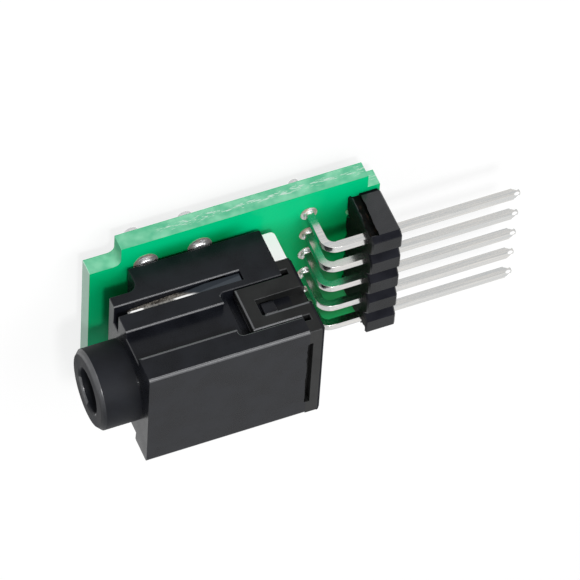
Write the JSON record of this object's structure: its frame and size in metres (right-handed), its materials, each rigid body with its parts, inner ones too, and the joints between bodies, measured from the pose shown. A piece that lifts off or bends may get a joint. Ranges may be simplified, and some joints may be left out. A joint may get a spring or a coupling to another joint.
{
  "type": "auxiliary input jack module",
  "caption": "Small circuit board with a side-entry 3.5 mm plug socket at one end and a right-angle row of square header pins at the other.",
  "frame": {"origin": "centre of the socket's mouth, on the plug's axis", "axes": "+X along the plug's axis from the mouth towards the header's pin tips, +Y up the board towards its notched edge, +Z out of the board's component face"},
  "size_m": [0.0373, 0.0183, 0.0143],
  "materials": {
    "solder_mask": "glossy green coating over glass-fibre laminate, pale at the cut edges",
    "socket_plastic": "black moulded plastic with a fine matt grain",
    "insulator_plastic": "white moulded plastic",
    "header_plastic": "black moulded plastic",
    "contact_metal": "plated copper-alloy strip, satin",
    "pin_metal": "tin-plated square wire, satin",
    "hole_plating": "tinned copper, bright",
    "solder": "bright solder with a slightly grainy skin",
    "coated_via": "copper ring under the green coating"
  },
  "bodies": {
    "root": {"circuit_board": "solder_mask", "jack_housing": "socket_plastic", "jack_rear_cover": "socket_plastic", "jack_rear_insulator": "insulator_plastic", "sleeve_contact": "contact_metal", "tip_contact": "contact_metal", "ring_contact": "contact_metal", "ring_switch_contact": "contact_metal", "tip_switch_contact": "contact_metal", "header_housing": "header_plastic", "header_pin_1": "pin_metal", "header_pin_2": "pin_metal", "header_pin_3": "pin_metal", "header_pin_4": "pin_metal", "header_pin_5": "pin_metal", "jack_plating_1": "hole_plating", "jack_plating_2": "hole_plating", "jack_plating_3": "hole_plating", "jack_plating_4": "hole_plating", "jack_plating_5": "hole_plating", "jack_solder_1": "solder", "jack_solder_2": "solder", "jack_solder_3": "solder", "jack_solder_4": "solder", "jack_solder_5": "solder", "header_plating_1": "hole_plating", "header_plating_2": "hole_plating", "header_plating_3": "hole_plating", "header_plating_4": "hole_plating", "header_plating_5": "hole_plating", "header_solder_1": "solder", "header_solder_2": "solder", "header_solder_3": "solder", "header_solder_4": "solder", "header_solder_5": "solder", "tented_via": "coated_via"}
  },
  "joints": []
}
